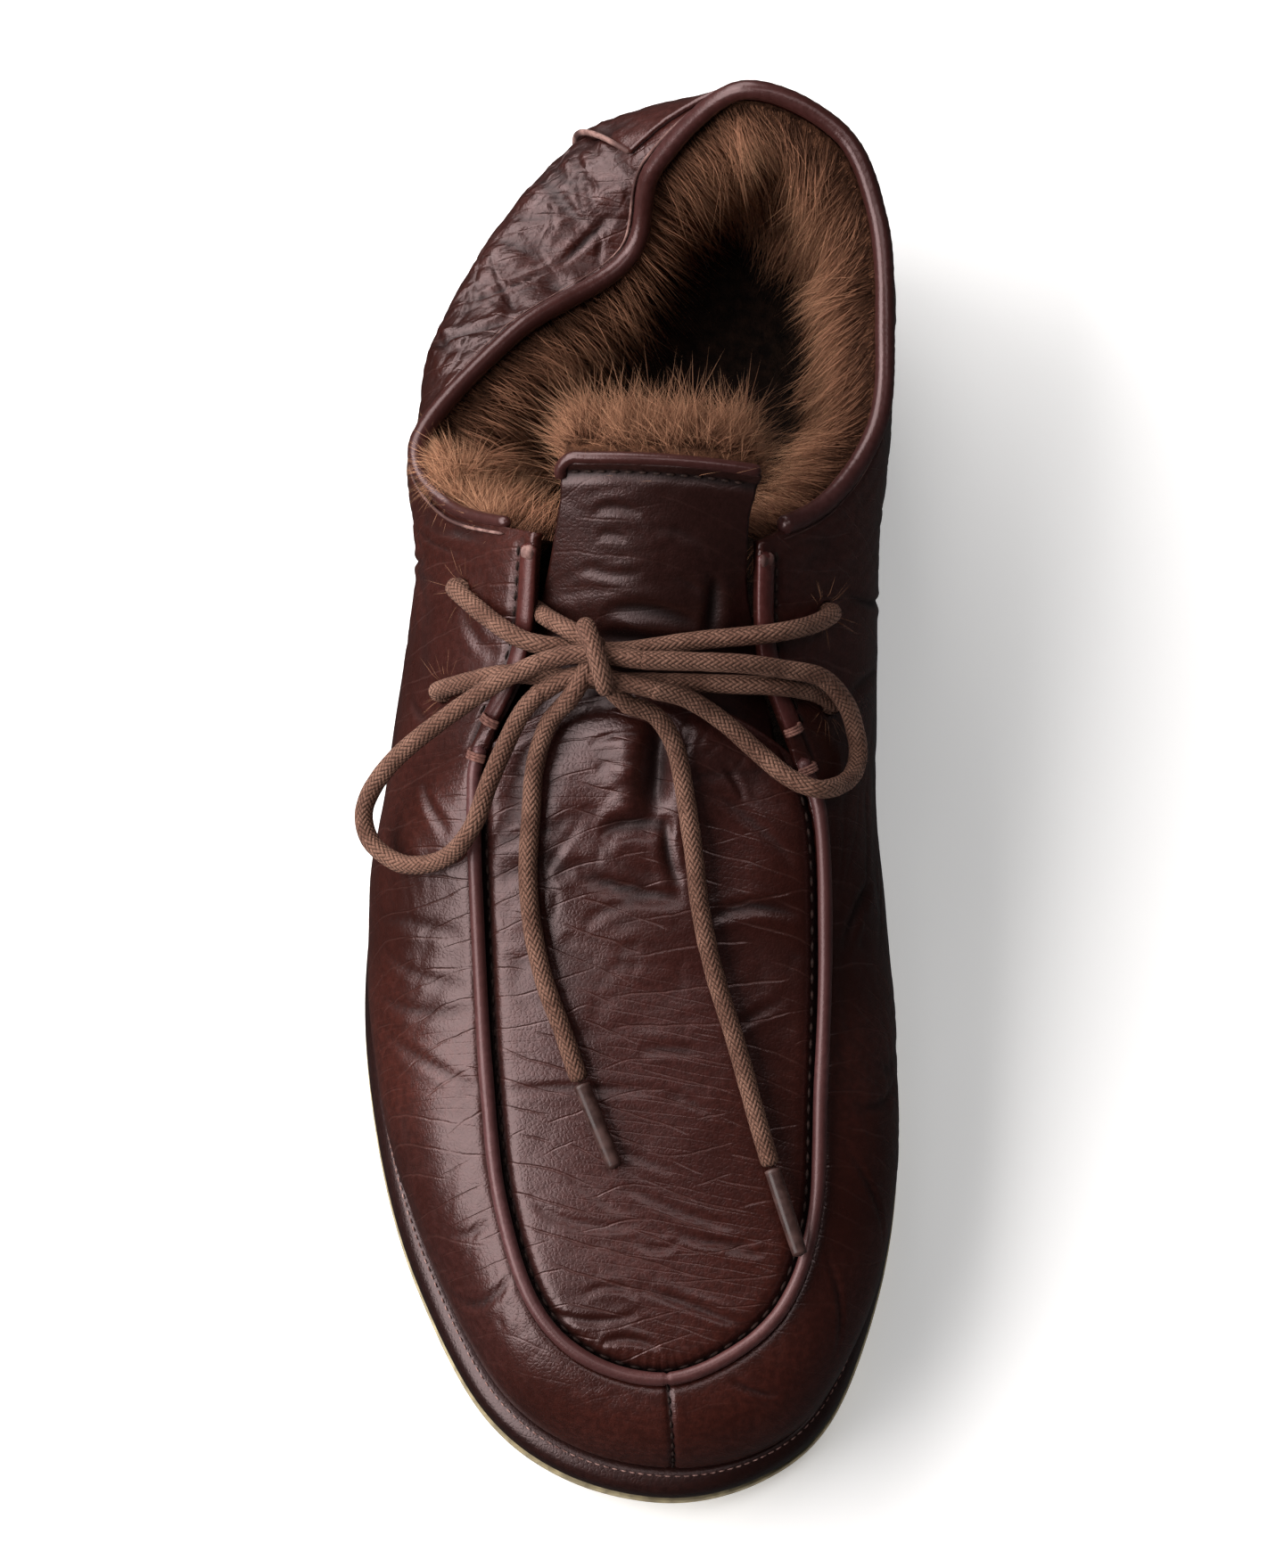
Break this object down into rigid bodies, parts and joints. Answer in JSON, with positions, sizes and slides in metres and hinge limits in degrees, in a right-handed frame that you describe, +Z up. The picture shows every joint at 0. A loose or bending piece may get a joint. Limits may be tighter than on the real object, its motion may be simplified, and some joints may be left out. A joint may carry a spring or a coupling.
{
  "type": "round-toe moccasin flat",
  "caption": "Round-toe leather moccasin flat for the right foot: piped apron toe, soft fur-lined upper with a slumped collar, lace bow over a tongue, leather-wrapped crepe sole.",
  "frame": {"origin": "middle of the shoe's outline on the floor, under the sole", "axes": "+Z up from the floor, +Y from the toe towards the heel, +X towards the inner (big-toe) side of the right foot"},
  "size_m": [0.1091, 0.271, 0.1021],
  "materials": {
    "leather": "soft grained, semi-gloss",
    "dark_leather": "smooth, semi-gloss",
    "piping": "smooth, satin",
    "crepe": "matt crepe",
    "fur": "deep soft pile",
    "cord": "braided, matt",
    "aglet": "clear brown, glossy"
  },
  "bodies": {
    "root": {"outsole": "crepe", "wrapped_midsole": "dark_leather", "insole": "fur", "upper": "leather", "backstay": "dark_leather", "apron_piping": "piping", "facing_binding_lateral": "piping", "facing_binding_medial": "piping", "collar_binding": "piping", "tongue": "leather", "tongue_binding": "piping", "tongue_fur": "fur", "fur_lining": "fur", "lace_bar_top": "cord", "lace_bar_low": "cord", "lace_knot": "cord", "lace_loop_lateral": "cord", "lace_loop_medial": "cord", "lace_end_lateral": "cord", "lace_end_medial": "cord", "aglet_lateral": "aglet", "aglet_medial": "aglet"}
  },
  "joints": []
}
